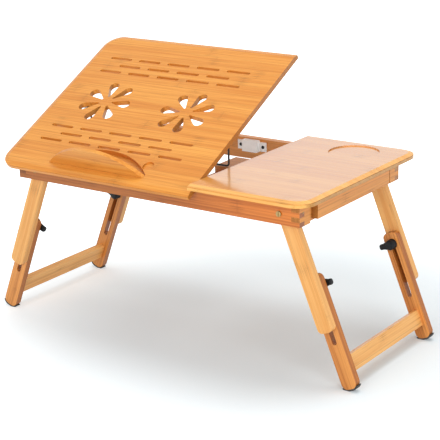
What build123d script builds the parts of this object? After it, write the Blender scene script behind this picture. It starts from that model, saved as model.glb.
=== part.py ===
"""Folding bamboo laptop stand with a drawer.

A low table for the lap, bed or floor.  The left part of its top tilts up on two small
hinges and is propped by a bent steel wire.  The right part is fixed, with a shallow cup
recess, and a drawer runs out under it.  Four splayed legs fold into the frame, and each
lower leg slides along a slot and is clamped by a wing knob.

Millimetres.  Origin on the ground, under the middle of the frame.  +X is the drawer's
end, +Y the back, +Z up.  The rest pose is the one in the photograph: top tilted, ledge
up, drawer shut, legs out and run fully down.
"""
import os
from math import cos, radians, sin

from build123d import *

# ---------------------------------------------------------------- driving dimensions
TOP_LENGTH = 550.0          # both boards of the top, over all
TOP_WIDTH = 324.0
SLAB_T = 8.0                # thickness of both boards
CORNER_R = 28.0
BEVEL_W, BEVEL_H = 8.0, 2.5  # wide bevel round the upper edge
EDGE_GROOVE = 0.8           # thin groove under that bevel
FIXED_LENGTH = 190.8        # fixed board, along X
SPLIT_GAP = 0.8             # between the two boards
DIVIDER_BACK = 0.8          # divider behind the fixed board's edge

OVERHANG_X, OVERHANG_Y = 23.0, 24.0
FRAME_H = 34.0
RAIL_T = 12.0
END_T = 13.0
FINGERS = 5                 # fingers in a corner joint, counted over the frame's height
STILE_W = 27.0
DIVIDER_T = 12.0

TILT = 27.4                 # degrees, the steepest setting
HINGE_IN = 10.0             # hinge axis behind the rail's front face
HINGE_UP = 2.5              # and above the rail
HINGE_LENGTH = 40.0
HINGE_FROM_END = 62.0       # middle of a hinge from the end of the tilting board

LEG_W, LEG_T = 24.0, 11.0
LEG_SPLAY = 21.8            # degrees from upright
PIVOT_IN = 32.6             # leg pivot from the frame's end
PIVOT_UP = 15.2             # and above the frame's underside
UPPER_END = 176.0           # the rest are distances from the pivot, down the leg
LOWER_TOP = 96.0
LEG_END = 262.0
CLAMP_AT = 113.0
SLOT_W = 7.4
LEG_TRAVEL = 80.0
CROSSBAR_AT, CROSSBAR_W, CROSSBAR_T = 230.0, 24.0, 10.0
FOOT_R = 9.0                # rounding of a foot's two corners
UPPER_END_R, LOWER_TOP_R = 7.0, 8.0
PAD_T, PAD_TRIM = 2.5, 0.8  # rubber under the foot, and what the ground takes off it
PAD_CLEAR = 3.0             # bare wood above the rubber, inside the foot's rounding

SLOT_LEN, SLOT_H, SLOT_PITCH = 42.0, 5.0, 56.6          # vents in the tilting board
VENT_LEFT, FLOWER_LEFT = 6.7, 4.2                       # left of the board's middle
FRONT_ROWS = (65.9, 81.9, 97.8)                         # rows of slots from the front edge
BACK_ROWS = (57.3, 74.2, 90.0)                          # and from the back edge
LONG_ROW, SHORT_ROW = 5, 4                              # slots in the outer and middle rows
FLOWER_APART, FLOWER_BACK = 152.6, 2.0
PETALS, PETAL_IN, PETAL_OUT, PETAL_R, PETAL_TIP_R = 7, 11.0, 45.5, 8.2, 1.5

LEDGE_W, LEDGE_H, LEDGE_T = 176.0, 36.0, 6.0
LEDGE_AT = 18.5                                         # its face from the front edge
LEDGE_PIN_D, LEDGE_PIN_IN, LEDGE_PIN_OUT = 2.4, 8.0, 5.0
THUMB_D, THUMB_DEEP, THUMB_IN, THUMB_BACK = 18.0, 2.5, 6.0, 22.0

WIRE_D, WIRE_BEND = 3.0, 4.5
WIRE_FROM_DIVIDER, WIRE_FROM_END = 32.5, 31.0           # the wire's two upright legs
WIRE_FROM_HINGE = 113.0                                 # its foot behind the tilt hinge
WIRE_STUB = 14.0
RACK_W, RACK_TOP, RACK_T = 57.0, 27.2, 5.4
RACK_BEHIND, RACK_AHEAD = 55.0, 53.0                    # rack from the wire's foot
SEAT_EDGE, RISER_T = 0.2, 6.0                           # seat's front edge, and its riser
STEP_TOP, STEP_BOTTOM, STEP_W = 16.3, 9.0, 29.0         # lower step in front of the seat
GROOVES_AHEAD, GROOVE_UP = (19.0, 33.0, 45.0), 0.6      # shallow rests in that step

DRAWER_GAP = 11.0                                       # beside the drawer's front
FRONT_H, FRONT_T = 30.0, 10.0                           # drawer front
DRAWER_PROUD, DRAWER_UP = 5.2, 3.5
BOX_IN, BOX_DOWN, BOX_BACK = 18.0, 4.5, 2.0             # drawer box from its front's edges
DRAWER_WALL, DRAWER_FLOOR = 5.0, 3.0
NOTCH_W, NOTCH_H, NOTCH_LEAN = 110.0, 6.0, 60.0         # finger notch in the front
GUIDE_T, GUIDE_LIP, GUIDE_UP, LIP_T = 4.0, 6.0, 1.5, 2.0
GUIDE_GAP = 1.4

CUP_D, CUP_DEPTH = 76.0, 1.6
CUP_FROM_END, CUP_FROM_BACK = 81.0, 56.0

CATCH_W, CATCH_DEEP, CATCH_H = 27.0, 10.0, 18.5
EAR_W, EAR_H, EAR_T, EAR_UP = 13.0, 14.8, 2.2, 1.0
EAR_HOLE_D, EAR_HOLE_IN, EAR_HOLE_UP = 4.0, 7.2, 7.4
STRIKE_T = 1.5

BOLT_D, BOLT_HEAD_D, BOLT_HEAD_H = 5.0, 8.0, 2.0
DRIVER_W, DRIVER_DEEP = 1.2, 1.1                        # screwdriver slot in the head
NUT_D, NUT_H = 9.0, 3.0
CLAMP_D, CLAMP_BITE = 6.0, 8.0
KNOB_D, KNOB_H, KNOB_BORE = 16.0, 11.0, 7.7
WING_REACH, WING_T, WING_H, WING_TIP_D = 16.5, 6.0, 8.0, 7.6
WING_OUTWARD = ("front_right", "back_left")             # the other two point inward

KNUCKLE_D, HINGE_PIN_D, LEAF_T = 5.0, 2.2, 1.2
LEAF_DOWN, LEAF_BACK, LEAF_GAP = 6.2, 16.0, 0.4
MID_KNUCKLE = 16.0
CLIP_L, CLIP_W, CLIP_WALL, CLIP_DROP = 6.0, 12.0, 0.9, 1.0

# clearances
RUN = 0.3                   # between flat faces that slide or turn past each other
BORE = 0.1                  # round a pin that turns
LIFT = 0.2                  # under the tilting board when it is shut
SEAT_PLAY = 0.8             # under the wire's foot
CATCH_GAP = 0.3             # between the catch and its strike plate
KNUCKLE_ROOM = 0.8          # round a hinge knuckle in the board
LEDGE_SWING = 1.3           # for the ledge's corners as it folds
FOLD_ROOM = 0.8             # over a folded leg
KNOB_ROOM = 6.0             # beside a folded knob
SLOT_SPARE = 0.5            # at each end of a lower leg's slot
THROUGH = 1.0               # how far a cutter runs past a face
ROUND_OFF = 0.01            # what a full rounding stops short by

# ---------------------------------------------------------------- derived places
half_l = TOP_LENGTH / 2
half_w = TOP_WIDTH / 2
end_x = half_l - OVERHANG_X
rail_y = half_w - OVERHANG_Y
inner_y = rail_y - RAIL_T
inner_x = end_x - END_T
splay = radians(LEG_SPLAY)
pivot_x = end_x - PIVOT_IN
foot_low = FOOT_R + PAD_T - PAD_TRIM
pivot_z = ((LEG_END - FOOT_R) * cos(splay) + (LEG_W / 2 - FOOT_R) * sin(splay) + foot_low)
frame_z = pivot_z - PIVOT_UP
slab_z = frame_z + FRAME_H
top_z = slab_z + SLAB_T
panel_z = slab_z + LIFT                 # underside of the tilting board, shut
panel_top = panel_z + SLAB_T
front_y = -half_w
split_x = half_l - FIXED_LENGTH         # left edge of the fixed board
panel_right = split_x - SPLIT_GAP
panel_mid_x = (panel_right - half_l) / 2
hinge_y = -rail_y + HINGE_IN
hinge_z = slab_z + HINGE_UP
HINGE = Axis((0, hinge_y, hinge_z), (1, 0, 0))
divider_x = split_x + DIVIDER_BACK
upper_y = inner_y - RUN                 # outer face of an upper leg, then inwards
upper_in = upper_y - LEG_T
lower_y = upper_in - RUN
lower_in = lower_y - LEG_T
knob_y = lower_in - RUN
hinge_places = (-half_l + HINGE_FROM_END, panel_right - HINGE_FROM_END)
front_half = rail_y - STILE_W - DRAWER_GAP              # half the drawer front's width
box_half = front_half - BOX_IN                          # half the drawer box's width


# ---------------------------------------------------------------- small helpers
def block(x0, x1, y0, y1, z0, z1):
    """Box between two corners."""
    size = (abs(x1 - x0), abs(y1 - y0), abs(z1 - z0))
    return Pos((x0 + x1) / 2, (y0 + y1) / 2, (z0 + z1) / 2) * Box(*size)


def rod_x(x0, x1, y, z, radius):
    """Cylinder along X."""
    return Pos((x0 + x1) / 2, y, z) * Rot(0, 90, 0) * Cylinder(radius, abs(x1 - x0))


def rod_y(x, y0, y1, z, radius):
    """Cylinder along Y."""
    return Pos(x, (y0 + y1) / 2, z) * Rot(90, 0, 0) * Cylinder(radius, abs(y1 - y0))


def tilt_up(shape):
    """Swing a piece of the shut tilting board up to the rest pose."""
    return shape.rotate(HINGE, TILT)


def mirror_y(shape, side):
    """Front piece as it is for side -1, mirrored to the back for side 1."""
    return shape if side < 0 else mirror(shape, about=Plane.XZ)


def mirror_x(shape, side):
    """Right piece as it is for side 1, mirrored to the left for side -1."""
    return shape if side > 0 else mirror(shape, about=Plane.YZ)


# ---------------------------------------------------------------- boards of the top
def rounded_slab(x0, x1, z0):
    """Board with rounded corners, a thin edge groove and a wide bevel above it."""
    width, depth = x1 - x0, TOP_WIDTH
    band = SLAB_T - BEVEL_H - EDGE_GROOVE

    def outline(inset, z):
        shape = RectangleRounded(width - 2 * inset, depth - 2 * inset, CORNER_R - inset)
        return Pos((x0 + x1) / 2, 0, z) * shape

    low = extrude(outline(0, z0), band)
    waist = extrude(outline(EDGE_GROOVE, z0 + band), EDGE_GROOVE)
    upper = loft([outline(0, z0 + SLAB_T - BEVEL_H), outline(BEVEL_W, z0 + SLAB_T)], ruled=True)
    return low + waist + upper


def fixed_top():
    spare = CORNER_R + 2 * BEVEL_W
    board = rounded_slab(split_x - spare, half_l, slab_z)
    board -= block(split_x - 2 * spare, split_x, -half_w - THROUGH, half_w + THROUGH,
                   slab_z - THROUGH, top_z + THROUGH)
    cup = Pos(half_l - CUP_FROM_END, half_w - CUP_FROM_BACK, top_z) * Cylinder(CUP_D / 2, 2 * CUP_DEPTH)
    return board - cup


def petal():
    """Teardrop pointing at the flower's middle, along +X."""
    with BuildSketch() as sketch:
        with Locations((PETAL_IN + PETAL_TIP_R, 0)):
            Circle(PETAL_TIP_R)
        with Locations((PETAL_OUT - PETAL_R, 0)):
            Circle(PETAL_R)
        make_hull()
    return sketch.sketch


def board_cutouts():
    """Vent slots and two seven-petalled flowers, as one cutter through the board."""
    cut_z, cut_h = panel_z - THROUGH, SLAB_T + 2 * THROUGH
    cutters = []
    rows = [front_y + at for at in FRONT_ROWS] + [-front_y - at for at in BACK_ROWS]
    for number, y in enumerate(rows):
        count = SHORT_ROW if number % 3 == 1 else LONG_ROW
        for i in range(count):
            x = panel_mid_x - VENT_LEFT + (i - (count - 1) / 2) * SLOT_PITCH
            slot = Pos(x, y, cut_z) * SlotOverall(SLOT_LEN, SLOT_H)
            cutters.append(extrude(slot, cut_h))
    one = extrude(petal(), cut_h)
    for side, first in ((-1, 0.0), (1, 180.0)):
        x = panel_mid_x - FLOWER_LEFT + side * FLOWER_APART / 2
        middle = Pos(x, FLOWER_BACK, cut_z)
        for i in range(PETALS):
            cutters.append(middle * Rot(0, 0, first + i * 360 / PETALS) * one)
    return cutters


# ---------------------------------------------------------------- flip-up ledge
ledge_axis_y = front_y + LEDGE_AT + LEDGE_T / 2
ledge_axis_z = panel_top - LEDGE_T / 2


def ledge_outline(clear=0.0, swing=0.0):
    """Chord on the axis, short straight ends and an arc, with the axis along local X."""
    half = LEDGE_W / 2 + clear
    foot = LEDGE_T / 2 + swing
    with BuildSketch() as sketch:
        with BuildLine():
            Polyline((-half, foot), (-half, 0), (half, 0), (half, foot))
            ThreePointArc((half, foot), (0, foot + LEDGE_H), (-half, foot))
        make_face()
    return sketch.sketch


def ledge():
    plate = extrude(Plane.XZ * ledge_outline(), LEDGE_T / 2, both=True)
    plate += rod_x(-LEDGE_W / 2, LEDGE_W / 2, 0, 0, LEDGE_T / 2)
    for side in (-1, 1):
        end = side * LEDGE_W / 2
        plate -= rod_x(end, end - side * LEDGE_PIN_IN, 0, 0, LEDGE_PIN_D / 2)
    return Pos(panel_mid_x, ledge_axis_y, ledge_axis_z) * plate


def ledge_pocket():
    """Space for the folded ledge, open at the board's upper face."""
    floor = ledge_axis_z - LEDGE_T / 2 - RUN
    depth = panel_top - floor + THROUGH
    plan = extrude(Pos(panel_mid_x, ledge_axis_y, floor) * ledge_outline(RUN, LEDGE_SWING), depth)
    half = LEDGE_W / 2 + RUN
    heel = block(panel_mid_x - half, panel_mid_x + half, ledge_axis_y - LEDGE_T / 2 - RUN,
                 ledge_axis_y, floor, floor + depth)
    thumb_x = panel_mid_x + LEDGE_W / 2 - THUMB_IN
    thumb = Pos(thumb_x, ledge_axis_y + THUMB_BACK, panel_top) * Cylinder(THUMB_D / 2, 2 * THUMB_DEEP)
    return plan + heel + thumb


def ledge_pin(side):
    end = panel_mid_x + side * LEDGE_W / 2
    return rod_x(end - side * LEDGE_PIN_IN, end + side * LEDGE_PIN_OUT,
                 ledge_axis_y, ledge_axis_z, LEDGE_PIN_D / 2)


def ledge_pin_bore(side):
    end = panel_mid_x + side * LEDGE_W / 2
    return rod_x(end - side * THROUGH, end + side * (LEDGE_PIN_OUT + RUN),
                 ledge_axis_y, ledge_axis_z, LEDGE_PIN_D / 2 + BORE)


# ---------------------------------------------------------------- tilt hinges
leaf_y = -inner_y                       # inner face of the front rail
panel_leaf_y = leaf_y + LEAF_T + 2 * LEAF_GAP


def hinge_frame_leaf(x):
    """Leaf on the rail's inner face, two outer knuckles and the pin."""
    half, mid = HINGE_LENGTH / 2, MID_KNUCKLE / 2 + LEAF_GAP
    leaf = block(x - half, x + half, leaf_y, leaf_y + LEAF_T, slab_z - LEAF_DOWN, slab_z)
    leaf -= block(x - mid, x + mid, leaf_y - THROUGH, leaf_y + LEAF_T + THROUGH,
                  slab_z - LEAF_DOWN / 2, slab_z + THROUGH)
    leaf += rod_x(x - half, x + half, hinge_y, hinge_z, HINGE_PIN_D / 2)
    for side in (-1, 1):
        near, far = x + side * mid, x + side * half
        leaf += rod_x(near, far, hinge_y, hinge_z, KNUCKLE_D / 2)
        leaf += block(near, far, hinge_y, leaf_y + LEAF_T, slab_z, hinge_z)
    return leaf


def hinge_panel_leaf(x):
    """Leaf under the board with the middle knuckle."""
    half, mid = HINGE_LENGTH / 2, MID_KNUCKLE / 2
    leaf = block(x - half, x + half, panel_leaf_y, panel_leaf_y + LEAF_BACK, panel_z - LEAF_T, panel_z)
    leaf += rod_x(x - mid, x + mid, hinge_y, hinge_z, KNUCKLE_D / 2)
    leaf += block(x - mid, x + mid, leaf_y + LEAF_GAP, panel_leaf_y + LEAF_T,
                  panel_z - LEAF_T, hinge_z)
    return leaf - rod_x(x - mid - THROUGH, x + mid + THROUGH, hinge_y, hinge_z, HINGE_PIN_D / 2 + BORE)


def hinge_notch(x):
    """Blind notch under the board for the knuckles."""
    half = HINGE_LENGTH / 2 + KNUCKLE_ROOM
    reach = KNUCKLE_D / 2 + KNUCKLE_ROOM
    return block(x - half, x + half, hinge_y - reach, panel_leaf_y + LEAF_T + RUN,
                 panel_z - THROUGH, hinge_z + KNUCKLE_D / 2 + RUN)


# ---------------------------------------------------------------- prop wire
tilt = radians(TILT)
wire_r = WIRE_D / 2
pivot_drop = hinge_z - (panel_z - wire_r - CLIP_DROP)    # wire's axis under the hinge axis
wire_foot_y = hinge_y + WIRE_FROM_HINGE
wire_right_x = divider_x - WIRE_FROM_DIVIDER
wire_left_x = -inner_x + WIRE_FROM_END
wire_foot_z = frame_z + RACK_TOP + SEAT_PLAY + wire_r
wire_along_board = (WIRE_FROM_HINGE - sin(tilt) * pivot_drop) / cos(tilt)
wire_pivot_z = hinge_z + sin(tilt) * wire_along_board - cos(tilt) * pivot_drop
wire_shut_y = hinge_y + wire_along_board                  # the pivot when the board is shut
wire_shut_z = hinge_z - pivot_drop


def prop_wire():
    right, left, y = wire_right_x, wire_left_x, wire_foot_y
    points = ((right + WIRE_STUB, y, wire_pivot_z), (right, y, wire_pivot_z),
              (right, y, wire_foot_z), (left, y, wire_foot_z),
              (left, y, wire_pivot_z), (left - WIRE_STUB, y, wire_pivot_z))
    path = FilletPolyline(*points, radius=WIRE_BEND)
    start = Plane(origin=points[0], z_dir=(-1, 0, 0))
    return sweep(start * Circle(wire_r), path=path)


def prop_clip(side):
    """Saddle under the shut board, bored for the wire's stub."""
    stub = wire_right_x + WIRE_BEND if side > 0 else wire_left_x - WIRE_BEND
    x0, x1 = sorted((stub, stub + side * CLIP_L))
    low = wire_shut_z - wire_r - CLIP_WALL
    clip = block(x0, x1, wire_shut_y - CLIP_W / 2, wire_shut_y + CLIP_W / 2, low, panel_z)
    return clip - rod_x(x0 - THROUGH, x1 + THROUGH, wire_shut_y, wire_shut_z, wire_r + BORE)


def tilt_panel():
    spare = CORNER_R + 2 * BEVEL_W
    board = rounded_slab(-half_l, panel_right + spare, panel_z)
    board -= block(panel_right, panel_right + 2 * spare, -half_w - THROUGH, half_w + THROUGH,
                   panel_z - THROUGH, panel_top + THROUGH)
    board -= board_cutouts()
    board -= ledge_pocket()
    for side in (-1, 1):
        board -= ledge_pin_bore(side)
    for x in hinge_places:
        board -= hinge_notch(x)
    return board


# ---------------------------------------------------------------- frame
finger_h = FRAME_H / FINGERS


def finger_slots(x0, x1, y0, y1, first):
    """Every second finger of a corner joint, from number `first` up."""
    return [block(x0, x1, y0, y1, frame_z + i * finger_h, frame_z + (i + 1) * finger_h)
            for i in range(first, FINGERS, 2)]


def under_board(x1):
    """What the raised board needs clear over the frame, from the left end to x1."""
    low = block(-end_x - THROUGH, x1, -half_w, 0, panel_z - 2 * LIFT, panel_z + half_w)
    return tilt_up(low)


def long_rail(side):
    """Front rail for side -1, back rail for side 1."""
    y0, y1 = side * inner_y, side * rail_y
    rail = block(-end_x, end_x, y0, y1, frame_z, slab_z)
    for end in (-1, 1):
        rail -= finger_slots(end * inner_x, end * end_x, y0, y1, 1)
        rail -= rod_y(end * pivot_x, y0 - side * THROUGH, y1 + side * THROUGH, pivot_z, BOLT_D / 2)
    return rail


def front_rails():
    """Front rail in two lengths: a low one under the tilting board, its top planed to the
    raised board's slope, and a full one under the fixed board."""
    joint_x = split_x - SPLIT_GAP / 2
    right = block(joint_x, half_l, -half_w, 0, 0, top_z)
    rail = long_rail(-1)
    return rail - right - under_board(joint_x), rail & right


def left_end_rail():
    rail = block(-end_x, -inner_x, -inner_y, inner_y, frame_z, slab_z)
    for side in (-1, 1):
        rail += finger_slots(-end_x, -inner_x, side * inner_y, side * rail_y, 1)
    return rail - under_board(-inner_x + THROUGH)


def stile(side):
    """Short upright board beside the drawer, joined to the long rail.  Its thinner tongue
    reaches behind the drawer front, shuts the gap there and stops the drawer."""
    y_in = side * (rail_y - STILE_W)
    post = block(inner_x, end_x, y_in, side * inner_y, frame_z, slab_z)
    stop_x = end_x + DRAWER_PROUD - FRONT_T - RUN
    post += block(inner_x, stop_x, side * (box_half + GUIDE_GAP), y_in, frame_z, slab_z)
    return post + finger_slots(inner_x, end_x, side * inner_y, side * rail_y, 1)


def divider():
    """Board between the tilting bay and the drawer, notched for the folded legs."""
    x1 = divider_x + DIVIDER_T
    board = block(divider_x, x1, -inner_y, inner_y, frame_z, slab_z)
    leg_room = frame_z + PIVOT_UP + LEG_W / 2 + FOLD_ROOM
    notch_y = knob_y - KNOB_H - KNOB_ROOM
    for side in (-1, 1):
        board -= block(divider_x - THROUGH, x1 + THROUGH, side * notch_y,
                       side * (inner_y + THROUGH), frame_z - THROUGH, leg_room)
    return board


def rack(name, x0, x1, step_x1):
    """Seat for the prop wire's foot: a high board, a riser and a grooved lower step."""
    seat_y = wire_foot_y - SEAT_EDGE
    top, step, low = frame_z + RACK_TOP, frame_z + STEP_TOP, frame_z + STEP_BOTTOM
    under = top - RACK_T
    board = block(x0, x1, seat_y, wire_foot_y + RACK_BEHIND, under, top)
    riser = block(x0, step_x1, seat_y, seat_y + RISER_T, low, under)
    tread = block(x0, step_x1, wire_foot_y - RACK_AHEAD, seat_y, low, step)
    for ahead in GROOVES_AHEAD:
        tread -= rod_x(x0 - THROUGH, step_x1 + THROUGH, wire_foot_y - ahead,
                       step + GROOVE_UP, wire_r + BORE)
    return {f"rack_{name}": board, f"rack_riser_{name}": riser, f"rack_step_{name}": tread}


def racks():
    right = divider_x - RACK_W - DIVIDER_BACK
    pieces = rack("right", right, divider_x, right + STEP_W)
    pieces.update(rack("left", -inner_x, -inner_x + RACK_W, -inner_x + RACK_W))
    return pieces


def drawer_guide(side):
    """Strip under the fixed board with a lip that carries the drawer."""
    y_in = side * (box_half + GUIDE_GAP)
    y_out = y_in + side * GUIDE_T
    x0, x1 = divider_x + DIVIDER_T, inner_x
    low = frame_z + GUIDE_UP
    web = block(x0, x1, y_in, y_out, low, slab_z)
    return web + block(x0, x1, y_in - side * GUIDE_LIP, y_out, low, low + LIP_T)


def magnetic_catch():
    """White catch on the back rail, with an ear for a screw on each side."""
    low = slab_z - STRIKE_T - CATCH_GAP - CATCH_H
    body = block(-CATCH_W / 2, CATCH_W / 2, inner_y - CATCH_DEEP, inner_y, low, low + CATCH_H)
    ear_end = CATCH_W / 2 + EAR_W
    body += block(-ear_end, ear_end, inner_y - EAR_T, inner_y, low + EAR_UP, low + EAR_UP + EAR_H)
    for side in (-1, 1):
        body -= rod_y(side * (CATCH_W / 2 + EAR_HOLE_IN), inner_y - EAR_T - THROUGH,
                      inner_y - EAR_T / 2, low + EAR_UP + EAR_HOLE_UP, EAR_HOLE_D / 2)
    return body


def strike_plate():
    """Steel plate under the board that the catch pulls on."""
    return block(-CATCH_W / 2, CATCH_W / 2, inner_y - CATCH_DEEP, inner_y - RUN,
                 panel_z - STRIKE_T, panel_z)


# ---------------------------------------------------------------- drawer
def drawer_parts():
    x1 = end_x + DRAWER_PROUD
    x0 = x1 - FRONT_T
    low = frame_z + DRAWER_UP
    top = low + FRONT_H
    front = block(x0, x1, -front_half, front_half, low, top)
    with BuildSketch(Plane.YZ) as notch:
        with Locations((0, top)):
            Trapezoid(NOTCH_W, 2 * NOTCH_H, NOTCH_LEAN, rotation=180)
    front -= Pos(x0 - THROUGH, 0, 0) * extrude(notch.sketch, FRONT_T + 2 * THROUGH)

    floor_z = frame_z + GUIDE_UP + LIP_T + RUN
    side_z, box_top = floor_z + DRAWER_FLOOR, top - BOX_DOWN
    back_x = divider_x + DIVIDER_T + BOX_BACK
    side_in = box_half - DRAWER_WALL
    parts = {"drawer_front": front}
    parts["drawer_bottom"] = block(back_x, x0, -box_half, box_half, floor_z, side_z)
    for side, name in ((-1, "drawer_side_front"), (1, "drawer_side_back")):
        parts[name] = block(back_x, x0, side * box_half, side * side_in, side_z, box_top)
    parts["drawer_end"] = block(back_x, back_x + DRAWER_WALL, -side_in, side_in, side_z, box_top)
    return parts


# ---------------------------------------------------------------- legs
def place_leg(shape, side_x, side_y):
    """From leg coordinates (pivot at the origin, foot along -Z) to its corner."""
    placed = Pos(pivot_x, 0, pivot_z) * Rot(0, -LEG_SPLAY, 0) * shape
    return mirror_y(mirror_x(placed, side_x), side_y)


def bar_profile(top, bottom, r_top, r_bottom):
    """Upright bar outline in leg coordinates, with rounded ends."""
    height = top - bottom
    with BuildSketch(Plane.XZ) as sketch:
        with Locations((0, (top + bottom) / 2)):
            Rectangle(LEG_W, height)
        fillet(sketch.vertices().sort_by(Axis.Y)[:2], r_bottom)
        if r_top:
            fillet(sketch.vertices().sort_by(Axis.Y)[-2:], r_top)
    return sketch.sketch


def upper_leg():
    """Front leg in leg coordinates, its faces from -upper_y to -upper_in."""
    bar = extrude(bar_profile(LEG_W / 2, -UPPER_END, LEG_W / 2 - ROUND_OFF, UPPER_END_R), LEG_T)
    bar = Pos(0, -upper_in, 0) * bar
    bar -= rod_y(0, -upper_y - THROUGH, -upper_in + THROUGH, 0, BOLT_D / 2 + BORE)
    bar -= rod_y(0, -upper_in + THROUGH, -upper_in - NUT_H - RUN, 0, NUT_D / 2 + RUN)
    bar -= rod_y(0, -upper_in + THROUGH, -upper_in - CLAMP_BITE - RUN, -CLAMP_AT, CLAMP_D / 2 + BORE)
    return bar


def lower_leg():
    bar = extrude(bar_profile(-LOWER_TOP, -LEG_END, LOWER_TOP_R, FOOT_R), LEG_T)
    bar = Pos(0, -lower_in, 0) * bar
    slot_top = CLAMP_AT - SLOT_W / 2 - SLOT_SPARE
    slot_end = CLAMP_AT + LEG_TRAVEL + SLOT_W / 2 + SLOT_SPARE
    with BuildSketch(Plane.XZ) as slot:
        with Locations((0, -(slot_top + slot_end) / 2)):
            SlotOverall(slot_end - slot_top, SLOT_W, rotation=90)
    return bar - Pos(0, -lower_in + THROUGH, 0) * extrude(slot.sketch, LEG_T + 2 * THROUGH)


def foot_pad():
    """Rubber cap under the foot's rounding, which the ground trims flat."""
    height = FOOT_R + PAD_T
    with BuildSketch(Plane.XZ) as sketch:
        with Locations((0, -LEG_END - PAD_T + height / 2)):
            Rectangle(LEG_W + 2 * PAD_T, height)
        fillet(sketch.vertices().sort_by(Axis.Y)[:2], height - ROUND_OFF)
    pad = Pos(0, -lower_in, 0) * extrude(sketch.sketch, LEG_T)
    pad -= Pos(0, -lower_in + THROUGH, 0) * extrude(
        bar_profile(-LEG_END + 3 * FOOT_R, -LEG_END, 0, FOOT_R), LEG_T + 2 * THROUGH)
    return pad - block(-LEG_W, LEG_W, -lower_y - THROUGH, -lower_in + THROUGH,
                       -LEG_END + PAD_CLEAR, 0)


def trimmed(pad):
    """A placed foot pad with its part below the ground taken off."""
    return pad - block(-TOP_LENGTH, TOP_LENGTH, -half_w, half_w, -LEG_W, 0)


def knob(outward):
    """Wing knob on the inner face, its one wing pointing toward the stand's end or middle."""
    y0, y1 = -knob_y, -knob_y + KNOB_H
    hub = rod_y(0, y0, y1, -CLAMP_AT, KNOB_D / 2)
    wing = block(-WING_REACH, 0, y1 - WING_H, y1, -CLAMP_AT - WING_T / 2, -CLAMP_AT + WING_T / 2)
    tip = rod_y(-WING_REACH + WING_T / 2, y1 - WING_H, y1, -CLAMP_AT, WING_TIP_D / 2)
    shape = hub + wing + tip - rod_y(0, y0 - THROUGH, y0 + KNOB_BORE, -CLAMP_AT, CLAMP_D / 2)
    return mirror_x(shape, -1 if outward else 1)


def clamp_bolt():
    return rod_y(0, -upper_in - CLAMP_BITE, -knob_y + KNOB_BORE, -CLAMP_AT, CLAMP_D / 2)


def pivot_bolt(side_x, side_y):
    """Slotted bolt through the rail and an upper leg, with a sunk nut."""
    y_out, y_nut = -rail_y, -upper_in
    y_head = y_out - BOLT_HEAD_H
    bolt = rod_y(pivot_x, y_out, y_nut, pivot_z, BOLT_D / 2)
    head = rod_y(pivot_x, y_head, y_out, pivot_z, BOLT_HEAD_D / 2)
    head -= block(pivot_x - DRIVER_W / 2, pivot_x + DRIVER_W / 2, y_head - THROUGH,
                  y_head + DRIVER_DEEP, pivot_z - BOLT_HEAD_D, pivot_z + BOLT_HEAD_D)
    nut = rod_y(pivot_x, y_nut - NUT_H, y_nut, pivot_z, NUT_D / 2)
    return mirror_y(mirror_x(bolt + head + nut, side_x), side_y)


def crossbar(side_x):
    """Bar between a pair of lower legs."""
    bar = block(-CROSSBAR_T / 2, CROSSBAR_T / 2, -lower_in, lower_in,
                -CROSSBAR_AT - CROSSBAR_W / 2, -CROSSBAR_AT + CROSSBAR_W / 2)
    return place_leg(bar, side_x, -1)


# ---------------------------------------------------------------- all nodes
def build():
    rail_left, rail_right = front_rails()
    nodes = {
        "front_rail": rail_left, "front_rail_right": rail_right, "back_rail": long_rail(1),
        "left_end_rail": left_end_rail(), "divider": divider(),
        "stile_front": stile(-1), "stile_back": stile(1),
        "fixed_top": fixed_top(),
        "guide_front": drawer_guide(-1), "guide_back": drawer_guide(1),
        "magnetic_catch": magnetic_catch(),
        "tilt_panel": tilt_up(tilt_panel()), "strike_plate": tilt_up(strike_plate()),
        "ledge": tilt_up(ledge()), "prop_wire": prop_wire(),
    }
    nodes.update(racks())
    for x, name in zip(hinge_places, ("left", "right")):
        nodes[f"hinge_{name}_frame"] = hinge_frame_leaf(x)
        nodes[f"hinge_{name}_panel"] = tilt_up(hinge_panel_leaf(x))
    for side, name in ((-1, "left"), (1, "right")):
        nodes[f"ledge_pin_{name}"] = tilt_up(ledge_pin(side))
        nodes[f"prop_clip_{name}"] = tilt_up(prop_clip(side))
        nodes[f"crossbar_{name}"] = crossbar(side)
    nodes.update(drawer_parts())
    for side_y, row in ((-1, "front"), (1, "back")):
        for side_x, end in ((-1, "left"), (1, "right")):
            tag = f"{row}_{end}"
            nodes[f"upper_leg_{tag}"] = place_leg(upper_leg(), side_x, side_y)
            nodes[f"lower_leg_{tag}"] = place_leg(lower_leg(), side_x, side_y)
            nodes[f"foot_pad_{tag}"] = trimmed(place_leg(foot_pad(), side_x, side_y))
            nodes[f"knob_{tag}"] = place_leg(knob(tag in WING_OUTWARD), side_x, side_y)
            nodes[f"clamp_bolt_{tag}"] = place_leg(clamp_bolt(), side_x, side_y)
            nodes[f"pivot_bolt_{tag}"] = pivot_bolt(side_x, side_y)
    return nodes


os.makedirs("parts", exist_ok=True)
for name, shape in build().items():
    solids = shape.solids() if hasattr(shape, "solids") else []
    if len(solids) != 1:
        print(f"{name}: {len(solids)} solids")
    export_step(shape, f"parts/{name}.step")
print(f"frame underside {frame_z:.2f}, pivot {pivot_z:.2f}, top {top_z:.2f}, "
      f"wire pivot {wire_pivot_z:.2f}, foot {wire_foot_z:.2f}, shut pivot y {wire_shut_y:.2f}")
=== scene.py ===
# %% [markdown]
# # Dressing a folding bamboo laptop stand
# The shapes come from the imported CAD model, already in place and in metres.  Here they
# get their finishes: lacquered bamboo, black and white plastic, coated wire, zinc, brass
# and rubber.  A few small pieces are modelled in full, because they are what a hand or
# eye finds first: the wing knobs, the screws and brads, and the catch's steel strips.

from math import cos, pi, radians, sin

import bmesh
import bpy
from mathutils import Matrix, Vector


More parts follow.
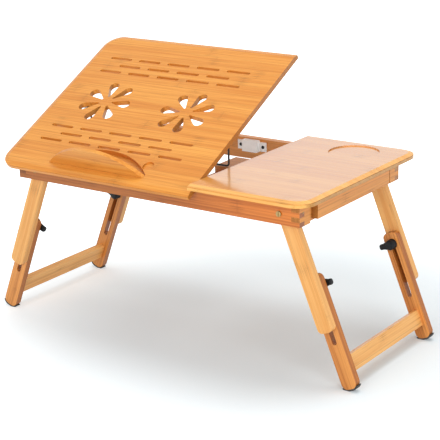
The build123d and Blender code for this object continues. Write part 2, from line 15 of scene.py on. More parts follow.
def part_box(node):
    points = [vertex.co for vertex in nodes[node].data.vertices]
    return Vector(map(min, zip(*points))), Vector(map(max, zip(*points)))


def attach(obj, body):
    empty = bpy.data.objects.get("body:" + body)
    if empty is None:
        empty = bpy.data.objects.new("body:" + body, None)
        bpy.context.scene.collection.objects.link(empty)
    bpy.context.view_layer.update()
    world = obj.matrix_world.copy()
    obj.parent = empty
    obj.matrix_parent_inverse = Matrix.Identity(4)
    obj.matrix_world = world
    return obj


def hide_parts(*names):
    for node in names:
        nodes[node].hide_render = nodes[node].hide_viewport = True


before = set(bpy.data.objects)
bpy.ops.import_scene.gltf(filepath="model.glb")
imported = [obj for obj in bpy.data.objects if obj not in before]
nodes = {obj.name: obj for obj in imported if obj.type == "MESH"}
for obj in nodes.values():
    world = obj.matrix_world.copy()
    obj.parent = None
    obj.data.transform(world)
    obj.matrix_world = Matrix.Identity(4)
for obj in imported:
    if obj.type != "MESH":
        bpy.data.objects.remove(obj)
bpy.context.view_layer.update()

# %% [markdown]
# ## Sizes that the finishes need
# Bamboo shows its direction.  Each board's fibres run along its length, so the material
# has to know how that board is turned: the tilting board leans back, the legs splay.

# %% Angles of the boards, and places read from the frame
MM = 0.001
TILT = radians(27.4)            # of the raised board
SPLAY = radians(21.8)           # of the legs, from upright
rail_low, rail_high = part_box("back_rail")
frame_z = rail_low.z
end_x = rail_high.x
print("frame underside", round(frame_z, 4), "end", round(end_x, 4))

# %% [markdown]
# ## Building a material from code
# A material is a graph of nodes.  Small helpers keep the graphs readable: one adds a node
# and fills its inputs, and the others do arithmetic, ease from one value to another, mix
# two colours and start a new material.


# %% Helpers for node graphs
def node(tree, kind, inputs=None, **settings):
    """Add a node; an input given as a socket is linked, and any other is set."""
    made = tree.nodes.new("ShaderNode" + kind)
    for key, value in settings.items():
        setattr(made, key, value)
    for key, value in (inputs or {}).items():
        if isinstance(value, bpy.types.NodeSocket):
            tree.links.new(value, made.inputs[key])
        else:
            made.inputs[key].default_value = value
    return made


def calc(tree, operation, a, b=0.0, c=0.0):
    return node(tree, "Math", {0: a, 1: b, 2: c}, operation=operation).outputs[0]


def smooth(tree, value, low, high, start=0.0, end=1.0):
    """Ease from start to end while value goes from low to high."""
    made = node(tree, "MapRange", {0: value, 1: low, 2: high, 3: start, 4: end},
                interpolation_type="SMOOTHSTEP")
    return made.outputs[0]


def blend_colours(tree, share, first, second, kind="MIX"):
    made = node(tree, "Mix", {0: share, 6: first, 7: second}, data_type="RGBA", blend_type=kind)
    return made.outputs[2]


def new_material(name, **shader):
    """A material with one Principled shader, whose plain values are set by name."""
    material = bpy.data.materials.new(name)
    material.use_nodes = True
    tree = material.node_tree
    bsdf = tree.nodes["Principled BSDF"]
    for key, value in shader.items():
        bsdf.inputs[key.replace("_", " ")].default_value = value
    return material, tree, bsdf


# %% [markdown]
# ## Lacquered bamboo
# A bamboo board is glued up from strips.  Each strip has its own tone, fine dark fibres
# along it, and every 20 to 26 cm a node, where the cane had a joint: a thin dark ring with
# blotchy fibres round it.  A picture of wood would stretch on so many turned boards, so
# noise and arithmetic draw it instead.  One function makes every bamboo, and rails, legs
# and boards differ only in tone, strip size, direction and gloss.


# %% Coordinates along and across the fibres
def along_grain(tree, turn, shift):
    """X along the fibres, Y across the strips, Z through them, in metres."""
    place = node(tree, "TexCoord").outputs["Object"]
    mapped = node(tree, "Mapping", {"Vector": place, "Rotation": turn, "Location": shift})
    return node(tree, "SeparateXYZ", {0: mapped.outputs[0]}).outputs


def stretched_noise(tree, u, v, w, along, across, detail=3.0, rough=0.55):
    """Noise drawn out along the fibres; `along` and `across` are spots per metre."""
    place = node(tree, "CombineXYZ", {0: calc(tree, "MULTIPLY", u, along),
                                      1: calc(tree, "MULTIPLY", v, across),
                                      2: calc(tree, "MULTIPLY", w, across)})
    made = node(tree, "TexNoise", {"Vector": place.outputs[0], "Scale": 1.0,
                                   "Detail": detail, "Roughness": rough})
    return made.outputs[0]


# %% Strips and their glue lines
PLY_STEP = 17.31                # keeps the random numbers of two plies apart
GLUE_LINE = 0.4 * MM


def strips(tree, v, w, width, thick):
    """A random number for each strip, and a thin mask on the glue lines."""
    row = calc(tree, "FLOOR", calc(tree, "DIVIDE", v, width))
    ply = calc(tree, "FLOOR", calc(tree, "DIVIDE", w, thick))
    number = calc(tree, "MULTIPLY_ADD", ply, PLY_STEP, row)
    rand = node(tree, "TexWhiteNoise", {"W": number}, noise_dimensions="1D").outputs["Value"]
    part = calc(tree, "FRACT", calc(tree, "DIVIDE", v, width))
    middle = calc(tree, "ABSOLUTE", calc(tree, "SUBTRACT", part, 0.5))
    glue = smooth(tree, middle, 0.5 - GLUE_LINE / width, 0.5)
    return rand, glue


# %% Nodes of the cane
RING = 0.4 * MM, 2.0 * MM       # where the dark ring starts to fade, and where it ends
HALO = 1 * MM, 16 * MM          # the same for the blotches round it
WANDER = 10 * MM                # width of the band that a ring strays within
RING_SHIFT = 7.0                # spreads the strips' rings over this many periods


def cane_nodes(tree, u, rand, cloud, period):
    """Dark rings across a strip, one each period, at a random place in each strip."""
    moved = calc(tree, "ADD", calc(tree, "DIVIDE", u, period),
                 calc(tree, "MULTIPLY", rand, RING_SHIFT))
    off = calc(tree, "ABSOLUTE", calc(tree, "SUBTRACT", calc(tree, "FRACT", moved), 0.5))
    away = calc(tree, "MULTIPLY_ADD", calc(tree, "SUBTRACT", cloud, 0.5), WANDER,
                calc(tree, "MULTIPLY", off, period))
    return smooth(tree, away, *RING, 1.0, 0.0), smooth(tree, away, *HALO, 1.0, 0.0)


# %% Which way a face looks
def faces_of_board(tree, turn):
    """Masks on the faces that cut across the fibres, and on those that look along Z."""
    facing = node(tree, "TexCoord").outputs["Normal"]
    mapped = node(tree, "Mapping", {"Vector": facing, "Rotation": turn}, vector_type="VECTOR")
    parts = node(tree, "SeparateXYZ", {0: mapped.outputs[0]}).outputs
    ends = smooth(tree, calc(tree, "ABSOLUTE", parts[0]), 0.7, 0.95)
    flats = smooth(tree, calc(tree, "ABSOLUTE", parts[2]), 0.6, 0.85)
    return ends, flats


# %% The colour of bamboo
# The first colour is painted shade, multiplied into a leg's side faces; the second is painted
# light, multiplied into the lit stretch of a rail.
SIDE_SHADE_TINT = (0.58, 0.42, 0.24, 1)      # both are multiplied into the board's own colour
PAINTED_LIGHT_TINT = (1.45, 1.3, 1.0, 1)


def strip_tone(tree, u, v, w, rand, contrast):
    """0 for light and 1 for dark: each strip's own tone, broad bands and fine lines."""
    broad = stretched_noise(tree, u, v, w, 3.0, 90.0)
    lines = stretched_noise(tree, u, v, w, 5.0, 420.0, detail=2.0, rough=0.6)
    tone = calc(tree, "MULTIPLY", rand, 0.34 * contrast)
    tone = calc(tree, "MULTIPLY_ADD", smooth(tree, broad, 0.3, 0.7), 0.38 * contrast, tone)
    return calc(tree, "MULTIPLY_ADD", smooth(tree, lines, 0.38, 0.66), 0.42 * contrast, tone)


def darkened(colour, share):
    return (*(share * part for part in colour), 1)


# %% The bamboo material itself
def bamboo(name, light, dark, turn=(0, 0, 0), width=20 * MM, thick=9 * MM, period=0.26,
           rough=0.36, coat=0.12, contrast=1.0, shift=(0, 0, 0), painted_side_shade=0.0, painted_light_span=None,
           mirror=0.28):
    """The shade share darkens the faces that look along Z by that share, as painted shade on
    a leg's side faces; the light span holds the two places along the fibres between which a
    board is painted paler, as painted light."""
    material, tree, bsdf = new_material(name, Coat_Weight=coat, Coat_Roughness=0.12,
                                        Specular_IOR_Level=mirror)
    u, v, w = along_grain(tree, turn, shift)[:3]
    rand, glue = strips(tree, v, w, width, thick)
    fibre = stretched_noise(tree, u, v, w, 14.0, 900.0, detail=4.0, rough=0.7)
    cloud = stretched_noise(tree, u, v, w, 16.0, 70.0, detail=2.0)
    pores = stretched_noise(tree, u, v, w, 60.0, 1400.0, detail=1.0)
    ring, halo = cane_nodes(tree, u, rand, cloud, period)
    ends, flats = faces_of_board(tree, turn)

    # Strips first, then dark fibres, cane nodes and glue lines over them.
    brown = darkened(dark, 0.5)
    tone = strip_tone(tree, u, v, w, rand, contrast)
    base = blend_colours(tree, tone, (*light, 1), (*dark, 1))
    streak = smooth(tree, fibre, 0.5, 0.78, 0.0, 0.5 * contrast)
    base = blend_colours(tree, streak, base, brown)
    blotch = calc(tree, "MULTIPLY", halo, smooth(tree, fibre, 0.46, 0.62, 0.0, 0.55))
    marks = calc(tree, "MAXIMUM", calc(tree, "MULTIPLY", ring, 0.2), blotch)
    base = blend_colours(tree, marks, base, brown)
    base = blend_colours(tree, calc(tree, "MULTIPLY", glue, 0.4), base, brown)

    # Then what changes a whole face: painted shade on its sides, a stretch painted paler as
    # painted light, and open pores at the ends.
    if painted_side_shade:
        shade = calc(tree, "MULTIPLY", flats, painted_side_shade)
        base = blend_colours(tree, shade, base, SIDE_SHADE_TINT, "MULTIPLY")
    if painted_light_span:
        shade = smooth(tree, u, *painted_light_span)
        base = blend_colours(tree, shade, base, PAINTED_LIGHT_TINT, "MULTIPLY")
    ends = calc(tree, "MULTIPLY", ends, smooth(tree, pores, 0.3, 0.7, 0.35, 0.85))
    base = blend_colours(tree, ends, base, darkened(dark, 0.4))
    tree.links.new(base, bsdf.inputs["Base Color"])

    # Fibres and rings stand up a little through the lacquer, and glue lines sink.
    varied = calc(tree, "MULTIPLY_ADD", fibre, 0.16, rough - 0.08)
    tree.links.new(varied, bsdf.inputs["Roughness"])
    height = calc(tree, "ADD", calc(tree, "MULTIPLY", fibre, 0.5),
                  calc(tree, "MULTIPLY", ring, 0.6))
    height = calc(tree, "SUBTRACT", height, calc(tree, "MULTIPLY", glue, 0.5))
    bump = node(tree, "Bump", {"Height": height, "Strength": 0.22, "Distance": 0.25 * MM})
    tree.links.new(bump.outputs[0], bsdf.inputs["Normal"])
    return material


# %% [markdown]
# ## Which board gets which bamboo
# Both boards of the top are honey-coloured.  The fixed one is glossy and the tilting one
# satin, with stronger strips.  The front rail, the left end rail and the divider are a
# dark red bamboo, partly a redder tone and partly painted shade for the shade under the
# boards; the front rail is painted paler toward its right end, as painted light.  The back
# rail, the stiles and the drawer's front are rust.  The upper legs and crossbars are cream
# and the lower legs amber, with painted shade on their side faces.
# The drawer's box, its guides and the racks are pale, with less gloss.

# %% Tones, each a light and a dark colour that its strips vary between
HONEY = (0.84, 0.385, 0.075), (0.66, 0.235, 0.034)
# Paler cut bamboo and a painted highlight, for the fixed board's bevelled edge.
GOLD_HIGHLIGHT = (0.94, 0.53, 0.15), (0.80, 0.35, 0.07)
CREAM = (0.92, 0.52, 0.18), (0.76, 0.34, 0.09)
AMBER = (0.86, 0.37, 0.095), (0.46, 0.145, 0.03)
# Darker than the rust partly as painted shade for the rails that sit in shade under the boards,
# and partly a redder bamboo.
RED_WITH_PAINTED_SHADE = (0.50, 0.175, 0.040), (0.30, 0.085, 0.016)
RUST = (0.80, 0.345, 0.08), (0.54, 0.19, 0.036)
PALE = (0.82, 0.42, 0.12), (0.64, 0.26, 0.055)
SAND = (0.88, 0.50, 0.24), (0.80, 0.40, 0.17)

# %% Turns, from a board that lies flat along X
QUARTER = pi / 2
ON_EDGE = (-QUARTER, 0, 0)
ON_EDGE_ALONG_Y = (0, -QUARTER, -QUARTER)
FLAT_ALONG_Y = (0, 0, -QUARTER)
LEANING = (-TILT, 0, 0)

# %% Make the bamboo finishes
finishes = {
    "top": bamboo("bamboo_fixed_top", *HONEY, rough=0.2, coat=1.0, mirror=0.6),
    "tilt": bamboo("bamboo_tilting_top", *HONEY, LEANING, shift=(0, 7 * MM, 0), contrast=1.25),
    "edge": bamboo("bamboo_top_bevel_highlight", *GOLD_HIGHLIGHT, rough=0.3),
    "cup": bamboo("bamboo_cup_wall", *SAND, rough=0.6, coat=0.0, mirror=0.1),
    # The front rail is painted paler from x -0.05 to 0.2 m: painted light where the tilting
    # board's overhang stops shading it, so its left part keeps a painted shade.
    "rail": bamboo("bamboo_rail", *RED_WITH_PAINTED_SHADE, ON_EDGE, width=17 * MM, thick=6 * MM,
                   painted_light_span=(-0.05, 0.2)),
    "back": bamboo("bamboo_back_rail", *RUST, ON_EDGE, width=17 * MM, thick=6 * MM),
    "end": bamboo("bamboo_end_rail", *RED_WITH_PAINTED_SHADE, ON_EDGE_ALONG_Y, width=17 * MM),
    "front": bamboo("bamboo_drawer_front", *RUST, ON_EDGE_ALONG_Y, width=15 * MM, coat=0.03,
                    mirror=0.2),
    "box": bamboo("bamboo_drawer_box", *PALE, width=22 * MM, coat=0.1, rough=0.45),
    "rack": bamboo("bamboo_rack", *PALE, width=15 * MM, coat=0.1, rough=0.45),
    "bar": bamboo("bamboo_crossbars", *CREAM, FLAT_ALONG_Y, width=12 * MM, period=0.2,
                  coat=0.04),
}
# The lower legs get painted shade on their side faces, the faces turned from the light.
for end, splay in (("left", -SPLAY), ("right", SPLAY)):
    leg = {"turn": (0, splay - QUARTER, 0), "width": 5.5 * MM, "thick": 8 * MM, "coat": 0.1}
    finishes["upper_" + end] = bamboo(f"bamboo_upper_{end}_legs", *CREAM, contrast=1.2, **leg)
    finishes["lower_" + end] = bamboo(f"bamboo_lower_{end}_legs", *AMBER, painted_side_shade=0.85, **leg)
print("bamboo finishes:", ", ".join(finishes))

# %% [markdown]
# ## Plastic, wire, metal and rubber
# None of these is one flat colour close up.  Moulded plastic has a fine texture, dipped
# wire is slightly lumpy, zinc plate is mottled, and rubber is dusty where it rubs.  All
# are two close tones and two noises, so one function with a few numbers makes them.


# %% A plain finish with a fine surface
def fine_finish(name, first, second, scale, roughness, spread, bump_mm, **shader):
    """Two close tones mixed by a coarse noise, and roughness and bump from a fine one."""
    material, tree, bsdf = new_material(name, **shader)
    place = node(tree, "TexCoord").outputs["Object"]
    grain = node(tree, "TexNoise", {"Vector": place, "Scale": scale, "Detail": 5.0,
                                    "Roughness": 0.6}).outputs[0]
    patch = node(tree, "TexNoise", {"Vector": place, "Scale": scale / 9,
                                    "Detail": 2.0}).outputs[0]
    base = blend_colours(tree, smooth(tree, patch, 0.35, 0.65), (*first, 1), (*second, 1))
    tree.links.new(base, bsdf.inputs["Base Color"])
    varied = calc(tree, "MULTIPLY_ADD", grain, spread, roughness - spread / 2)
    tree.links.new(varied, bsdf.inputs["Roughness"])
    bump = node(tree, "Bump", {"Height": grain, "Strength": 0.5, "Distance": bump_mm * MM})
    tree.links.new(bump.outputs[0], bsdf.inputs["Normal"])
    return material


# %% Make the plain finishes
finishes["plastic"] = fine_finish("black_plastic", (0.006, 0.006, 0.007), (0.012, 0.012, 0.013),
                                  scale=1800, roughness=0.5, spread=0.2, bump_mm=0.05,
                                  Specular_IOR_Level=0.25)
finishes["white"] = fine_finish("white_plastic", (0.90, 0.90, 0.89), (0.94, 0.94, 0.93),
                                scale=900, roughness=0.32, spread=0.12, bump_mm=0.03)
finishes["wire"] = fine_finish("black_coated_wire", (0.014, 0.014, 0.016), (0.03, 0.03, 0.032),
                               scale=500, roughness=0.34, spread=0.2, bump_mm=0.08)
finishes["rubber"] = fine_finish("foot_rubber", (0.035, 0.033, 0.032), (0.07, 0.066, 0.062),
                                 scale=1200, roughness=0.8, spread=0.2, bump_mm=0.12)
plate = {"scale": 700, "roughness": 0.36, "spread": 0.2, "bump_mm": 0.03, "Metallic": 1.0}
finishes["zinc"] = fine_finish("zinc_plate", (0.52, 0.53, 0.55), (0.66, 0.66, 0.66), **plate)
finishes["brass"] = fine_finish("brass_plate", (0.30, 0.20, 0.08), (0.44, 0.31, 0.14), **plate)
print("finishes in all:", len(finishes))

# %% [markdown]
# ## Finishes on the CAD nodes
# The nodes' names say what each piece is, so a short table of how names start gives every
# node its finish.  The first fit counts, so a longer name comes before a shorter one.

# %% Give every CAD node its finish
FINISH_RULES = (
    ("fixed_top", "top"), ("tilt_panel", "tilt"), ("ledge_pin", "zinc"), ("ledge", "tilt"),
    ("front_rail", "rail"), ("back_rail", "back"), ("left_end_rail", "end"),
    ("divider", "end"), ("stile", "front"), ("drawer_front", "front"), ("drawer", "box"),
    ("rack", "rack"), ("guide", "rack"), ("crossbar", "bar"), ("foot_pad", "rubber"),
    ("knob", "plastic"), ("magnetic_catch", "white"), ("prop_wire", "wire"),
    ("prop_clip", "zinc"), ("pivot_bolt", "brass"), ("clamp_bolt", "zinc"),
    ("hinge", "zinc"), ("strike", "zinc"))


def finish_for(name):
    """By how the name starts, and for a leg also by its end of the stand."""
    if "_leg_" in name:
        part, end = name.split("_")[0], name.split("_")[-1]
        return finishes[f"{part}_{end}"]
    return finishes[next(finish for start, finish in FINISH_RULES if name.startswith(start))]


for name, obj in nodes.items():
    obj.data.materials.clear()
    obj.data.materials.append(finish_for(name))
print("dressed CAD nodes:", len(nodes))

# %% [markdown]
# ## Edges of the fixed board
# The fixed board is lacquered on top, while the wall of its cup recess shows paler, cut
# bamboo.  Its bevelled edge is a light gold, partly paler cut bamboo and partly a painted
# highlight along the rounded edge.  A second and third material on the same mesh, picked by
# which way each face looks and how near the cup it is, leave the shape as it was.

# %% The fixed board's edges, and the wall of its cup recess
CUP_FROM_END, CUP_FROM_BACK = 81 * MM, 56 * MM
CUP_REACH = 42 * MM
FACING_UP = 0.985               # a face that looks up less than this is no part of the top
LIT_EDGE_SLOT, CUP_SLOT = 1, 2
fixed = nodes["fixed_top"].data
fixed.materials.append(finishes["edge"])
fixed.materials.append(finishes["cup"])
board_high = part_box("fixed_top")[1]
cup_middle = Vector((board_high.x - CUP_FROM_END, board_high.y - CUP_FROM_BACK))
for face in fixed.polygons:
    if face.normal.z < FACING_UP:
        in_cup = (face.center.to_2d() - cup_middle).length < CUP_REACH
        face.material_index = CUP_SLOT if in_cup else LIT_EDGE_SLOT
print("cup wall faces:", sum(1 for face in fixed.polygons if face.material_index == CUP_SLOT))

# %% [markdown]
# ## Soft edges
# Sawn bamboo is sanded and plastic is moulded, so no edge is a true corner and each one
# catches a thin line of light.  A bevel modifier does that without touching the CAD mesh.

# %% Round the edges of legs, bars and small pieces
SANDED = {"upper_leg": 0.9, "lower_leg": 0.9, "crossbar": 0.9, "drawer_front": 0.8,
          "ledge_pin": 0.0, "ledge": 0.9, "divider": 0.4, "magnetic_catch": 0.7, "rack": 0.4}
SHARP = radians(50)             # only edges that turn more than this are rounded


def soften(obj, width_mm):
    """Round the sharp edges of an object."""
    bevel = obj.modifiers.new("sanded_edges", "BEVEL")
    bevel.width, bevel.segments = width_mm * MM, 2
    bevel.limit_method, bevel.angle_limit = "ANGLE", SHARP
    bevel.harden_normals = True
    bevel.use_clamp_overlap = True


softened = 0
for name, obj in nodes.items():
    width = next((w for start, w in SANDED.items() if name.startswith(start)), 0.0)
    if width:
        soften(obj, width)
        softened += 1
print("nodes with sanded edges:", softened)

# %% [markdown]
# ## Small pieces in mesh code
# A screw head or a knob's boss is a turned shape: a profile spun round an axis.  A wing is
# a row of sections.  Both are rings of points joined into a tube, so `tube` does that for
# each, and `placed` puts a piece where it belongs.


# %% Tubes from rings of points
def tube(mesh, rings):
    """Join each ring to the next, point by point, and close both ends."""
    for low, high in zip(rings, rings[1:]):
        for i in range(len(low)):
            k = (i + 1) % len(low)
            mesh.faces.new((low[i], low[k], high[k], high[i]))
    mesh.faces.new(rings[-1])
    mesh.faces.new(list(reversed(rings[0])))


def finished(name, mesh, material):
    """Turn a bmesh into a smooth object with its material."""
    bmesh.ops.recalc_face_normals(mesh, faces=mesh.faces)
    data = bpy.data.meshes.new(name)
    mesh.to_mesh(data)
    mesh.free()
    for face in data.polygons:
        face.use_smooth = True
    data.materials.append(material)
    obj = bpy.data.objects.new(name, data)
    bpy.context.scene.collection.objects.link(obj)
    return obj


# %% Turned pieces
def turned(name, profile, material, segments=40):
    """Spin (radius, height) points round local Z; both ends close at their last ring."""
    mesh = bmesh.new()
    turns = [2 * pi * i / segments for i in range(segments)]
    rings = [[mesh.verts.new((radius * cos(turn), radius * sin(turn), height))
              for turn in turns] for radius, height in profile]
    tube(mesh, rings)
    return finished(name, mesh, material)


def placed(obj, place, out):
    """Move a piece into the frame with its local Z along `out`."""
    turn = Vector(out).to_track_quat("Z", "Y").to_matrix().to_4x4()
    obj.data.transform(Matrix.Translation(place) @ turn)
    return obj


def scaled(points, size):
    return [tuple(size * part for part in point) for point in points]


# %% [markdown]
# ## Wing knobs
# Each lower leg is clamped by a moulded knob with one wing.  A real one has a flange, a
# boss with a domed top, and a wing that starts thick and ends in a rounded thumb pad.  The
# boss is turned.  The wing is a row of sections with cut corners, joined into a tube, and
# a subdivision surface rounds it over, as the mould does.

# %% Boss and wing
BOSS = ((8.0, 0.0), (8.0, 1.2), (7.5, 1.7), (7.6, 7.6), (7.2, 9.4), (6.0, 10.6), (3.2, 11.0))
WING = ((2.0, 6.4, 2.6, 10.9), (6.5, 6.2, 2.6, 11.0), (9.5, 4.8, 2.5, 11.1),
        (12.5, 4.4, 2.4, 11.2), (15.2, 4.6, 2.4, 11.3), (16.9, 3.8, 3.0, 10.8))
WING_CUT = 0.45                 # of a section's half width, cut off each corner


def wing_mesh():
    """Sections of (distance, half width, low, high), in millimetres, along -X."""
    mesh = bmesh.new()
    rings = []
    for far, half, low, high in WING:
        cut = WING_CUT * half
        section = ((-half, low + cut), (-half, high - cut),
                   (-half + cut, high), (half - cut, high),
                   (half, high - cut), (half, low + cut),
                   (half - cut, low), (-half + cut, low))
        rings.append([mesh.verts.new((-far * MM, y * MM, z * MM)) for y, z in section])
    tube(mesh, rings)
    return mesh


# %% One knob for each leg
ENDS = ((-1, "left"), (1, "right"))
ROWS = ((-1, "front"), (1, "back"))


def wing_knob(corner, side_x, side_y):
    """A boss and a wing on the clamp bolt's axis, with the wing where the CAD knob's is."""
    node_name = "knob_" + corner
    axis_low, axis_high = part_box("clamp_bolt_" + corner)
    low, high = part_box(node_name)
    x, z = (axis_low.x + axis_high.x) / 2, (axis_low.z + axis_high.z) / 2
    y = high.y if side_y > 0 else low.y
    inward = Vector((0, -side_y, 0))
    wing_out = Vector((-side_x * cos(SPLAY), 0, -sin(SPLAY)))
    if (low.x + high.x) / 2 * side_x > x * side_x:
        wing_out = -wing_out
    third = inward.cross(-wing_out)
    turn = Matrix((-wing_out, third, inward)).transposed().to_4x4()
    boss = turned("wing_knob_" + corner, scaled(BOSS, MM), finishes["plastic"])
    wing = finished("wing_" + corner, wing_mesh(), finishes["plastic"])
    for piece in (boss, wing):
        piece.data.transform(Matrix.Translation((x, y, z)) @ turn)
    round_over = wing.modifiers.new("rounded", "SUBSURF")
    round_over.levels = round_over.render_levels = 2
    for piece in (boss, wing):
        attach(piece, node_name)
        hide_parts(node_name)


for side_y, row in ROWS:
    for side_x, end in ENDS:
        wing_knob(f"{row}_{end}", side_x, side_y)
print("wing knobs:", len(ROWS) * len(ENDS))

# %% [markdown]
# ## Screws, brads and steel strips
# The catch is held by a dark screw in each ear, the hinge leaves by small zinc screws,
# and each corner joint of the frame is pinned with a brad.  All are low turned heads; the
# screws also have a cross, laid as two thin dark bars across the dome, painted shade for
# the shadowed recess of a cut cross.  Cutting it with a boolean would cost more and show
# no better at this size.

# %% Screw heads
SCREW_DOME = ((1.0, 0.0), (1.0, 0.25), (0.86, 0.5), (0.5, 0.64), (0.15, 0.68))   # in radii
CROSS_BAR, CROSS_UP = (1.1, 0.2, 0.1), 0.66                                      # in radii
SMALL_TURN = 24                 # segments round a small head


def screw(name, place, out, radius, material, body):
    """A domed head with a cross, that looks along `out` and rides on a body."""
    head = turned(name, scaled(SCREW_DOME, radius), material, SMALL_TURN)
    # The cross is two black bars: painted shade for the recess of a cut cross.
    cross = bmesh.new()
    for angle in (0.0, pi / 2):
        bar = bmesh.ops.create_cube(cross, size=1.0)["verts"]
        bmesh.ops.scale(cross, verts=bar, vec=[radius * share for share in CROSS_BAR])
        bmesh.ops.rotate(cross, verts=bar, matrix=Matrix.Rotation(angle, 3, "Z"))
        bmesh.ops.translate(cross, verts=bar, vec=(0, 0, CROSS_UP * radius))
    cross_shade = finished(name + "_cross", cross, finishes["plastic"])
    for piece in (head, cross_shade):
        placed(piece, place, out)
        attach(piece, body)


# %% Screws in the catch's ears
EAR_FACE, EAR_HOLE_X, EAR_HOLE_UP = 2.2 * MM, 20.7 * MM, 8.4 * MM
EAR_SCREW = 2.6 * MM            # radius
catch_low, catch_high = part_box("magnetic_catch")
for side, tag in ENDS:
    place = (side * EAR_HOLE_X, catch_high.y - EAR_FACE, catch_low.z + EAR_HOLE_UP)
    screw("catch_screw_" + tag, place, (0, -1, 0), EAR_SCREW, finishes["plastic"], "frame")
print("catch screws:", len(ENDS))

# %% Steel strips along the top of the catch, a hair proud of the plastic
POLE_SIZE = (20 * MM, 1.2 * MM, 1.2 * MM)
POLE_ROUND = 0.1 * MM
POLE_DOWN = 0.45 * MM           # middle of a strip below the catch's top
POLES_IN = {"front": 7.2 * MM, "back": 3.2 * MM}


def pole(tag, y):
    """One strip along X, with rounded edges."""
    mesh = bmesh.new()
    bar = bmesh.ops.create_cube(mesh, size=1.0)["verts"]
    bmesh.ops.scale(mesh, verts=bar, vec=POLE_SIZE)
    bmesh.ops.translate(mesh, verts=bar, vec=(0, y, catch_high.z - POLE_DOWN))
    bmesh.ops.bevel(mesh, geom=mesh.edges[:], offset=POLE_ROUND, segments=2, affect="EDGES")
    strip = finished("catch_pole_" + tag, mesh, finishes["zinc"])
    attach(strip, "frame")


for tag, inset in POLES_IN.items():
    pole(tag, catch_high.y - inset)
print("catch poles:", len(POLES_IN))

# %% Screws in the leaves under the tilting board
LEAF_HOLE_X, LEAF_HOLE_IN = 13 * MM, 6 * MM
LEAF_SCREW, LEAF_SCREW_OUT = 2.0 * MM, 1.1 * MM         # radius, and how far out it sits
LEAF_HOLES = ((-1, "a"), (1, "b"))
outward = Vector((0, sin(TILT), -cos(TILT)))            # out of the board's underside
up_board = Vector((0, cos(TILT), sin(TILT)))            # up its slope
for _, tag in ENDS:
    leaf_low, leaf_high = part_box(f"hinge_{tag}_panel")
    middle_x = (leaf_low.x + leaf_high.x) / 2
    under = Vector((middle_x, leaf_high.y, leaf_high.z)) - LEAF_HOLE_IN * up_board
    for side, hole in LEAF_HOLES:
        place = under + Vector((side * LEAF_HOLE_X, 0, 0)) + outward * LEAF_SCREW_OUT
        screw(f"hinge_screw_{tag}_{hole}", place, outward, LEAF_SCREW, finishes["zinc"],
              "tilt_board")
print("hinge screws:", len(ENDS) * len(LEAF_HOLES))

# %% Brads through the corner joints
BRAD = ((1.5, 0.0), (1.5, 0.12), (1.2, 0.25), (0.3, 0.3))
BRAD_UP, BRAD_IN = 19.0 * MM, 9.0 * MM          # from the frame's underside and its sides
for side_x, end in ENDS:
    for side_y, row in ROWS:
        place = (side_x * end_x, side_y * (rail_high.y - BRAD_IN), frame_z + BRAD_UP)
        pin = turned(f"brad_{row}_{end}", scaled(BRAD, MM), finishes["brass"], SMALL_TURN)
        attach(placed(pin, place, (side_x, 0, 0)), "frame")
print("brads:", len(ENDS) * len(ROWS))

# %% [markdown]
# ## Camera
# The camera stands off the drawer's front corner, a little above the top, and looks
# slightly down.  Its place, turn and lens bring the stand's edges as near to those in the
# photograph as a lens centred on the picture can.  Shifting the lens would come nearer,
# but would push the stand out of frame in other views.

# %% Camera
AZIMUTH, ELEVATION, ROLL = radians(35.536), radians(17.491), radians(-1.531)
ASIDE, ABOVE, DISTANCE = -0.0205, 0.0633, 2.1668    # from the middle of the frame's underside
FOCAL_PIXELS, PICTURE_PIXELS = 1438.3, 440          # both along the photograph's width
SENSOR = 36.0

level = Vector((cos(AZIMUTH), sin(AZIMUTH), 0))
back = Vector((sin(AZIMUTH) * cos(ELEVATION), -cos(AZIMUTH) * cos(ELEVATION), sin(ELEVATION)))
rise = back.cross(level)
right = cos(ROLL) * level + sin(ROLL) * rise
up = cos(ROLL) * rise - sin(ROLL) * level
eye = back * DISTANCE - right * ASIDE - up * ABOVE + Vector((0, 0, frame_z))
camera = bpy.data.objects.new("camera", bpy.data.cameras.new("camera"))
camera.data.sensor_width = SENSOR
camera.data.lens = FOCAL_PIXELS / PICTURE_PIXELS * SENSOR
camera.matrix_world = Matrix.Translation(eye) @ Matrix((right, up, back)).transposed().to_4x4()
bpy.context.scene.collection.objects.link(camera)
bpy.context.scene.camera = camera
print("camera at", [round(c, 3) for c in eye], "lens", round(camera.data.lens, 1))

# %% [markdown]
# ## Floor, world and lamps
# The stand is on a white sweep.  The floor stays a real, matt floor for the light, so it
# carries the soft shadow, and for the eye and for reflections it also glows to white.  The
# glow is weak under the stand and grows outward, so the shadow fades into the white; the
# weak glow also paints shade round the stand, a painted shadow added to the real one.  A
# white sky and three large soft lamps light the wood evenly.  The lamps don't show in
# reflections, because lacquer would turn them into white glare.


# %% White for the eye, plain for the light
def seen_directly(tree):
    """1 for camera, mirror and glass rays, and 0 for the rays that light the object."""
    path = node(tree, "LightPath").outputs
    some = calc(tree, "MAXIMUM", path["Is Camera Ray"], path["Is Glossy Ray"])
    return calc(tree, "MAXIMUM", some, path["Is Transmission Ray"])


# %% Floor
FLOOR_REACH = 12.0              # from the middle to each side
FLOOR_COLOUR = (0.72, 0.785, 0.815, 1)  # a little blue, against the warm light off the wood
# Middle of the painted shadow, right of and behind the stand's middle, where the glow is
# weakest.
PAINTED_SHADOW_MIDDLE = (0.10, 0.05, 0.0)
GLOW_FROM, GLOW_TO = 0.2, 0.8   # distances from that place at which the glow grows
NEAR_GLOW = 0.12                # inside the first; it is 1 outside the second


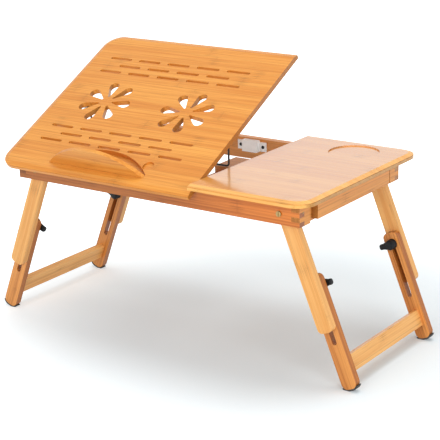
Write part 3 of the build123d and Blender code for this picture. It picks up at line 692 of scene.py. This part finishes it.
def white_floor():
    """Matt floor whose glow grows from NEAR_GLOW under the stand to white farther out."""
    material, tree, bsdf = new_material("white_floor", Roughness=1.0, Specular_IOR_Level=0.0,
                                        Base_Color=FLOOR_COLOUR)
    place = node(tree, "TexCoord").outputs["Object"]
    away = node(tree, "VectorMath", {0: place, 1: PAINTED_SHADOW_MIDDLE}, operation="SUBTRACT")
    reach = node(tree, "VectorMath", {0: away.outputs[0]}, operation="LENGTH").outputs["Value"]
    amount = smooth(tree, reach, GLOW_FROM, GLOW_TO, NEAR_GLOW, 1.0)
    strength = calc(tree, "MULTIPLY", seen_directly(tree), amount)
    glow = node(tree, "Emission", {"Strength": strength})
    both = node(tree, "AddShader", {0: bsdf.outputs[0], 1: glow.outputs[0]})
    out = next(n for n in tree.nodes if n.type == "OUTPUT_MATERIAL")
    tree.links.new(both.outputs[0], out.inputs[0])
    return material


sweep = bmesh.new()
bmesh.ops.create_grid(sweep, x_segments=8, y_segments=8, size=FLOOR_REACH)
floor = finished("floor", sweep, white_floor())
print("floor reaches", max(corner.co.x for corner in floor.data.vertices))

# %% World light
SKY_LIGHT = 0.55                # for the light; the eye sees a strength of 1, which is white
world = bpy.data.worlds.new("studio")
bpy.context.scene.world = world
world.use_nodes = True
sky = world.node_tree
sky.nodes.clear()
strength = smooth(sky, seen_directly(sky), 0.0, 1.0, SKY_LIGHT, 1.0)
backdrop = node(sky, "Background", {"Color": (1, 1, 1, 1), "Strength": strength})
sky.links.new(backdrop.outputs[0], node(sky, "OutputWorld").inputs[0])
print("sky light", SKY_LIGHT)

# %% Three soft lamps: above, in front and at the drawer's end
LIT = Vector((0, 0, 0.25))      # what the lamps point at


def soft_lamp(name, place, size, watts):
    """A round lamp that lights the wood but leaves no glare on the lacquer."""
    lamp = bpy.data.lights.new(name, "AREA")
    lamp.shape, lamp.size, lamp.energy = "DISK", size, watts
    obj = bpy.data.objects.new(name, lamp)
    obj.location = place
    obj.rotation_euler = (LIT - Vector(place)).to_track_quat("-Z", "Y").to_euler()
    obj.visible_glossy = False
    bpy.context.scene.collection.objects.link(obj)


soft_lamp("key", (0.2, 0.3, 2.6), size=1.5, watts=25)
soft_lamp("front_fill", (0.4, -2.8, 1.1), size=1.6, watts=30)
soft_lamp("right_fill", (2.5, -1.5, 1.0), size=1.4, watts=28)
bpy.context.scene.view_settings.view_transform = "Standard"
